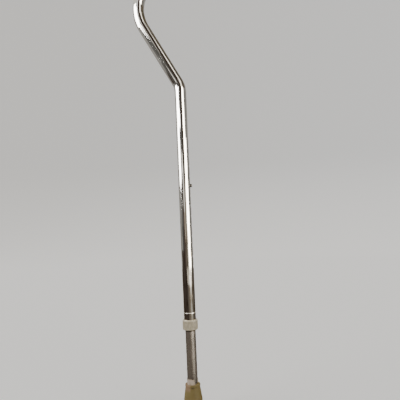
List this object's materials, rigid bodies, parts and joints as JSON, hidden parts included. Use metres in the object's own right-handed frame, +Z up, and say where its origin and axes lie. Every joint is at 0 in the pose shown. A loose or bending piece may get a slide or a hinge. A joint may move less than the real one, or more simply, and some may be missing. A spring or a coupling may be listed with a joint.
{
  "type": "single point walking cane",
  "caption": "Offset-handle walking cane: bright bent upper tube, telescoping leg held by a snap button and a clamping collar, flared rubber tip.",
  "frame": {"origin": "centre of the rubber tip's sole, on the ground, with the cane upright", "axes": "+Z up the shaft, +X the way the handle and the snap button point, XZ is the plane of the bent tube"},
  "size_m": [0.2102, 0.039, 0.8535],
  "materials": {
    "bright_tube": "polished, finely scratched",
    "satin_tube": "satin, drawn",
    "collar_plastic": "moulded, slightly yellowed",
    "grey_nylon": "moulded",
    "grip_rubber": "matte, fine grain",
    "tip_rubber": "matte, scuffed",
    "shim_strip": "dull",
    "button_steel": "darkened, worn",
    "spring_steel": "blued",
    "washer_steel": "zinc plated"
  },
  "bodies": {
    "shaft": {"upper_tube": "bright_tube", "handle_grip": "grip_rubber", "handle_end_plug": "grey_nylon", "collet_bush": "grey_nylon"},
    "collar": {"collar_nut": "collar_plastic"},
    "leg": {"lower_tube": "satin_tube", "guide_bush": "grey_nylon", "snap_spring": "spring_steel", "tip_shim": "shim_strip", "tip_washer": "washer_steel", "rubber_tip": "tip_rubber"},
    "button": {"snap_button": "button_steel"}
  },
  "joints": [
    {"name": "height_adjust", "type": "slide", "parent": "leg", "child": "shaft", "axis": [0, 0, 1], "range_m": [-0.0762, 0.1524]},
    {"name": "button_press", "type": "slide", "parent": "leg", "child": "button", "axis": [-1, 0, 0], "range_m": [0, 0.0047], "stiffness_N_per_m": 1500, "springref_m": -0.003, "deforming": ["snap_spring"]},
    {"name": "collar_turn", "type": "hinge", "parent": "shaft", "child": "collar", "pos_m": [0, 0, 0.157], "axis": [0, 0, -1], "range_deg": [0, 270]}
  ]
}
